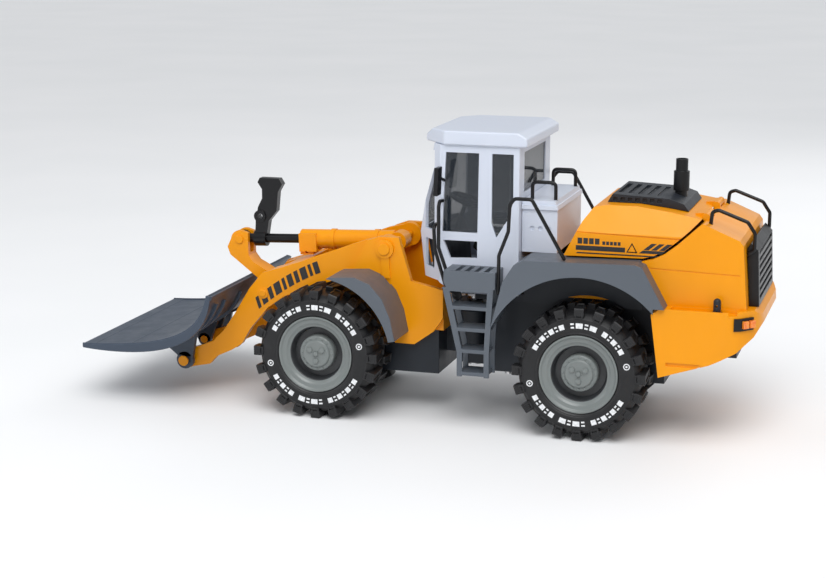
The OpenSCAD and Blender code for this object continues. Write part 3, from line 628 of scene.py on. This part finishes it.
def cap_part(half):
    """Hub cap: a raised drum with small studs on its rim and three large bosses in the middle."""
    seat = half - 14
    skirt = [(0.01, 6.2), (8.6, 6.2), (8.6, 0.1), (15.2, 0.1), (15.2, 6.6), (15.0, 7.2), (14.6, 7.7),
             (14.0, 8.0)]
    drum = [(12.4, 8.0), (12.0, 8.2), (11.6, 9.2), (11.2, 9.7), (10.6, 10), (10.0, 10.05), (8.9, 9.75),
            (8.5, 9.7), (0.01, 9.75)]
    parts = [revolve([(r, h + seat) for r, h in skirt + drum], 96)]
    parts += [dome(13.4, i * 22.5, 0.95, 7.8 + seat, 0.9, 12) for i in range(16)]
    parts += [dome(6.3, 90 + i * 120, 2.3, 9.5 + seat, 1.7, 28) for i in range(3)]
    parts.append(dome(0, 0, 2.1, 9.5 + seat, 2.2, 28))
    parts.append(revolve([(2.9, 9.4 + seat), (3.4, 9.4 + seat), (3.4, 10.1 + seat), (2.9, 10.1 + seat)], 32))
    return merge(*parts)


def turned_out(radius, angle):
    """Shift to a radius and an angle in degrees."""
    a = math.radians(angle)
    return Matrix.Translation((radius * math.cos(a), radius * math.sin(a), 0))


def dome(radius, angle, r, base, height, steps):
    """Small round boss with a rounded rim."""
    profile = [(0.001, base), (r, base), (r, base + height * 0.6), (r * 0.9, base + height * 0.88),
               (r * 0.7, base + height), (0.001, base + height)]
    return moved(revolve(profile, steps), turned_out(radius, angle))


def paint_recess_shade(obj, axle):
    """Painted shade: a darker material on the deep groove round the hub cap, in place of the shade that
    falls there.
    """
    groove_r, groove_depth = RIM_R - 7.2, 5.6
    obj.data.materials.append(RECESS_SHADE)
    for face in obj.data.polygons:
        away = math.hypot(face.center.x - axle.x, face.center.z - axle.z) / MM
        deep = abs(face.center.y) < abs(axle.y) + (TYRE_W / 2 - groove_depth * MM)
        if away < groove_r and deep:
            face.material_index = 1


def build_wheels():
    """Tyre, rim, hub cap and sidewall marks at each of the four wheel places."""
    half = TYRE_W / MM / 2
    parts = {"tyre": tyre_part(half), "rim": rim_part(half), "hub_cap": cap_part(half)}
    marks = sidewall_marks(half)
    for where in WHEELS:
        m = wheel_matrix(where)
        for kind, part in parts.items():
            node = f"{kind}_{where}"
            obj = add_piece(node + "_skin", moved(part, m), node, MATERIALS[SLOT_OF[node]], [node])
            # The rim's groove round the hub cap gets painted shade.
            if kind == "rim":
                paint_recess_shade(obj, centre("tyre_" + where))
        add_piece("sidewall_marks_" + where, moved(marks, m), "tyre_" + where, WHITE_PRINT)


# ---------- flat plates, printed marks and the bucket ----------


def plate(points, y0, y1):
    """Prism on an outline of (x, z) stations, standing from y0 to y1."""
    count = len(points)
    verts = [station(x, y, z) for y in (y0, y1) for x, z in points]
    faces = [tuple(range(count)), tuple(reversed(range(count, 2 * count)))]
    faces += [(k, k + count, (k + 1) % count + count, (k + 1) % count) for k in range(count)]
    return verts, faces


def rod(x, z, y0, y1, radius, steps=40):
    """Round bar along Y."""
    ring = [(x + radius * math.cos(2 * math.pi * k / steps), z + radius * math.sin(2 * math.pi * k / steps))
            for k in range(steps)]
    return plate(ring, y0, y1)


def bar(x0, x1, z0, z1, slant=0.0):
    """Outline of a bar whose top is pushed along X by slant."""
    return [(x0, z0), (x1, z0), (x1 + slant, z1), (x0 + slant, z1)]


# Where a printed film starts and ends above the face that it is on.
PRINT = (0.02, 0.2)


def hood_marks():
    """Plain bars, a stripe and an empty triangle on each side of the hood."""
    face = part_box("engine_hood")[1].y / MM
    foot, row, small_top = 153.4, 158.6, 161.4
    outlines = [bar(6.6 - 4.7 * i, 2.9 - 4.7 * i, row, 163.4) for i in range(4)]
    outlines += [bar(-13.6 - 3.1 * i, -15.9 - 3.1 * i, row, small_top) for i in range(5)]
    outlines += [bar(8, -32, foot, 157.2), bar(8, -58, 150.7, 151.7, -1.6)]
    corners = [Vector((-33, foot)), Vector((-42, foot)), Vector((-37.5, small_top))]
    for a, b in zip(corners, corners[1:] + corners[:1]):
        middle = sum(corners, Vector((0, 0))) / 3
        outlines.append([tuple(a), tuple(b), tuple(b.lerp(middle, 0.28)), tuple(a.lerp(middle, 0.28))])
    outlines += [bar(-43.2, -61.5, foot, 155.8, -3.2)]
    outlines += [bar(-46.8 - 6.2 * i, -51 - 6.2 * i, 156.3, 161.6, -6.4) for i in range(3)]
    return both(merge(*[plate(o, face + PRINT[0], face + PRINT[1]) for o in outlines]))


def arm_marks():
    """Slanted bars of plain black along the outer face of each lift arm."""
    arm_face, x = 35.0, 238.0
    tall, slant, gap = 4.9, 1.6, 2.0
    outlines = []
    for width in (4.6, 2.6, 5.6, 3.4, 4.6, 2.6, 5.6, 3.4, 4.6, 2.6):
        middle, end = arm_middle(x), arm_middle(x + width)
        outlines.append([(x - slant, middle - tall), (x + width - slant, end - tall),
                         (x + width + slant, end + tall), (x + slant, middle + tall)])
        x += width + gap
    return both(merge(*[plate(o, arm_face + PRINT[0], arm_face + PRINT[1]) for o in outlines]))


def arm_middle(x):
    """Height of the arm's middle line at a station."""
    along = x - 240
    return 119.5 - 0.42 * along - 0.0038 * along * along


# The bucket's section in millimetres. Its tip and half width come from the CAD node.
BUCKET_DEPTH, BUCKET_RISE, BUCKET_SKIN = 118.0, 50.0, 3.0
BUCKET_TIP = (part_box("bucket")[1].x / MM - REAR_X / MM, 52.0)
BUCKET_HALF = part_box("bucket")[1].y / MM


def bowl(t):
    """Point on the bucket's inner face, from the tip at 0 to the back lip at 1."""
    back = BUCKET_DEPTH * (1.8 * t * (1 - t) + t * t)
    up = BUCKET_RISE * (0.12 * t * (1 - t) + 0.35 * t ** 4 + 0.65 * t * t)
    return Vector((BUCKET_TIP[0] - back, BUCKET_TIP[1] + up))


def bowl_skin(t, out):
    """The same point, moved square to the face."""
    a, b = bowl(t), bowl(t + 0.01)
    d = (b - a).normalized()
    return a + Vector((-d.y, d.x)) * out


def bowl_outline(inner, outer, steps=56, t0=0.0, t1=1.0):
    """Closed section of the bucket between two depths, each a function of t."""
    ts = [t0 + (t1 - t0) * i / steps for i in range(steps + 1)]
    front = [bowl_skin(t, inner(t)) for t in ts]
    back = [bowl_skin(t, outer(t)) for t in reversed(ts)]
    return [tuple(p) for p in front + back]


def crease(t):
    """Fine raised line where the floor's plates meet."""
    return -0.38 * sum(math.exp(-((t - place) / 0.0042) ** 2) for place in (0.235, 0.62))


def cheek_depth(t):
    """The side plate's depth, which swells towards the middle."""
    return BUCKET_SKIN + 5.0 * math.sin(math.pi * min(1, max(0, t)) ** 0.8)


def slab(inner, outer, steps, t0, t1, y0, y1):
    """Stretch of the bowl with a constant thickness, from y0 to y1."""
    return plate(bowl_outline(lambda t: inner, lambda t: outer, steps, t0, t1), y0, y1)


def bucket_part():
    """Creased skin, side plates with rims, ribs inside the lip and behind, and the ears for both pins."""
    half, skin = BUCKET_HALF, BUCKET_SKIN
    parts = [plate(bowl_outline(crease, lambda t: skin, 260), -half + 1, half - 1)]
    cheek = plate(bowl_outline(lambda t: 0.0, cheek_depth), half - 5, half)
    rim = slab(-1.0, 0.5, 56, 0.0, 1.0, half - 1.6, half - 0.2)
    parts += [both(cheek), both(rim)]
    parts += [slab(-1.4, 0.6, 6, 0.8, 0.965, i * 12 - 0.9, i * 12 + 0.9) for i in range(-6, 7)]
    parts.append(slab(-0.5, skin + 1.3, 5, 0.972, 1.0, -half + 1, half - 1))
    parts.append(slab(-0.25, skin + 0.6, 8, 0.0, 0.055, -half + 1, half - 1))
    ear = [(370.2, 34), (394, 53), (372, 57), (350, 61.6), (355.6, 33)]
    parts += [both(plate(ear, 37, 41.6)), both(rod(363, 30, 37, 41.6, 8))]
    link_ear = [(363.6, 41), (372, 57), (342, 66.8), (352, 40)]
    parts += [both(plate(link_ear, 6, 10)), both(rod(357.7, 42, 6, 10, 6))]
    parts += [both(slab(skin - 1, skin + 2.4, 24, 0.1, 0.92, y, y + 2.4)) for y in (22, 58, 76)]
    return merge(*parts)


def build_bucket():
    obj = add_piece("bucket_shell", bucket_part(), "bucket", MATERIALS["bucket_plastic"], ["bucket"], 40)
    round_edges(obj, 0.5, 30)


def build_marks():
    add_piece("hood_marks", hood_marks(), "engine_hood", BLACK_PRINT)
    add_piece("arm_marks", arm_marks(), "lift_arm", BLACK_PRINT)


# ---------- rails and mirrors ----------

# For each node, the left side's paths in millimetres and the rail's radius.
RAILS = {
    "grab_rails": ([[(-98, 52, 177), (-99, 52, 188), (-104, 52, 189.5), (-127, 52, 181), (-133, 52, 172),
                     (-133, 52, 158.5), (-128.6, 52, 156)]], 1.5),
    "deck_handle": ([[(50, 38, 187.6), (50, 38, 203), (30.5, 38, 203), (30.5, 38, 187.6)]], 1.5),
    "deck_rails": ([[(68, 78, 117), (67.6, 78, 148), (60, 78, 168), (59, 78, 190), (55, 78, 195),
                     (41, 78, 195), (14, 78, 148.4)]], 1.5),
    "front_rails": ([[(121, 56.9, 187), (121, 66, 188), (121, 69, 184), (121, 69, 150), (114.6, 69, 132)],
                     [(125, 56.7, 168), (125, 66, 168), (125, 69, 165), (124, 69, 148), (115, 69, 119),
                      (106, 69, 111)]], 1.5),
    "mirrors": ([[(120, 56.9, 204), (120, 70, 208), (120, 75, 208)]], 1.3),
}


def rail_ends(node):
    """What the tubes carry: a disc at the foot of the front rails, a leaning plate on each mirror arm."""
    if node == "front_rails":
        return [both(rod(105, 111, 67.8, 70.2, 4))]
    if node == "mirrors":
        plate_low, plate_high = 194.5, 217.5
        outline = [(118.2, plate_low), (121.8, plate_low), (120.9, plate_high), (117.3, plate_high)]
        return [both(plate(outline, 71.2, 82.6))]
    return []


def build_rails():
    """Smooth tubes in place of the CAD's rails and mirror arms."""
    for node, (paths, radius) in RAILS.items():
        part = merge(*[both(tube(p, radius)) for p in paths], *rail_ends(node))
        obj = add_piece(node + "_tube", part, node, MATERIALS[SLOT_OF[node]], [node])
        if node in ("front_rails", "mirrors"):
            round_edges(obj, 0.5, 50)


# ---------- floor, light and camera ----------

FLOOR_R = 14.0
FLOOR_GAP = 0.0004


def stage():
    """Plain pale floor that runs out to the horizon on every side."""
    steps = 96
    turns = [2 * math.pi * k / steps for k in range(steps)]
    ring = [(FLOOR_R * math.cos(a), FLOOR_R * math.sin(a), cad_low.z - FLOOR_GAP) for a in turns]
    mesh = bpy.data.meshes.new("studio_floor")
    mesh.from_pydata(ring, [], [tuple(range(steps))])
    obj = bpy.data.objects.new("studio_floor", mesh)
    bpy.context.scene.collection.objects.link(obj)
    n = Nodes("studio_paper")
    tone = n.ramp(n.noise(3, 2), 0.3, 0.7)
    n.set(Base_Color=n.mix(tone, rgba(0.9, 0.9, 0.905), rgba(0.87, 0.875, 0.88)), Roughness=0.75)
    mesh.materials.append(n.mat)


def area_light(name, place, target, size, power, colour=(1, 1, 1)):
    """Soft box at place that looks at target."""
    data = bpy.data.lights.new(name, "AREA")
    data.shape = "RECTANGLE"
    data.size, data.size_y = size
    data.energy = power
    data.color = colour
    obj = bpy.data.objects.new(name, data)
    obj.location = place
    obj.rotation_euler = (Vector(target) - Vector(place)).to_track_quat("-Z", "Y").to_euler()
    bpy.context.scene.collection.objects.link(obj)


def sky_light():
    """Wide sun that softens the shadows, and an even pale surround."""
    data = bpy.data.lights.new("sky", "SUN")
    data.energy = 1.35
    data.angle = math.radians(50)
    sun = bpy.data.objects.new("sky", data)
    sun.rotation_euler = (math.radians(-28), math.radians(-14), 0)
    bpy.context.scene.collection.objects.link(sun)
    world = bpy.data.worlds.new("studio_world")
    bpy.context.scene.world = world
    world.use_nodes = True
    background = world.node_tree.nodes["Background"]
    background.inputs["Color"].default_value = (0.93, 0.96, 1, 1)
    background.inputs["Strength"].default_value = 0.45


def studio():
    """Lights are placed and sized by the object's length."""
    stage()
    target = (cad_low + cad_high) / 2
    size = cad_high.x - cad_low.x
    cool = (0.95, 0.97, 1)
    area_light("key", (-0.6 * size, 2.2 * size, 2.4 * size), target, (1.9 * size, 1.2 * size), 11.5)
    area_light("fill", (2.4 * size, 1.2 * size, 1.3 * size), target, (1.6 * size, 1.6 * size), 4.5, cool)
    area_light("rim", (-1.2 * size, -2.2 * size, 1.8 * size), target, (1.5 * size, 1.5 * size), 5)
    sky_light()
    bpy.context.scene.view_settings.view_transform = "Standard"


CAMERA_LENS = 78.45
CAMERA_AZIMUTH = 17.2
CAMERA_ELEVATION = 12.15
CAMERA_PLACE = (-287.4, 1458.9, 427.1)


def camera():
    """Left side, a little from behind and above."""
    data = bpy.data.cameras.new("camera")
    data.lens = CAMERA_LENS
    data.sensor_width = 36
    obj = bpy.data.objects.new("camera", data)
    bpy.context.scene.collection.objects.link(obj)
    bpy.context.scene.camera = obj
    azimuth, elevation = math.radians(CAMERA_AZIMUTH), math.radians(CAMERA_ELEVATION)
    forward = Vector((math.sin(azimuth) * math.cos(elevation), -math.cos(azimuth) * math.cos(elevation),
                      -math.sin(elevation)))
    obj.location = station(*CAMERA_PLACE)
    obj.rotation_euler = forward.to_track_quat("-Z", "Y").to_euler()


# ---------- run ----------

build_wheels()
build_rails()
build_bucket()
build_marks()
REPLACED = {n for o in bpy.context.scene.objects for n in o.get("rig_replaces", [])}
dress_all(REPLACED)
studio()
camera()
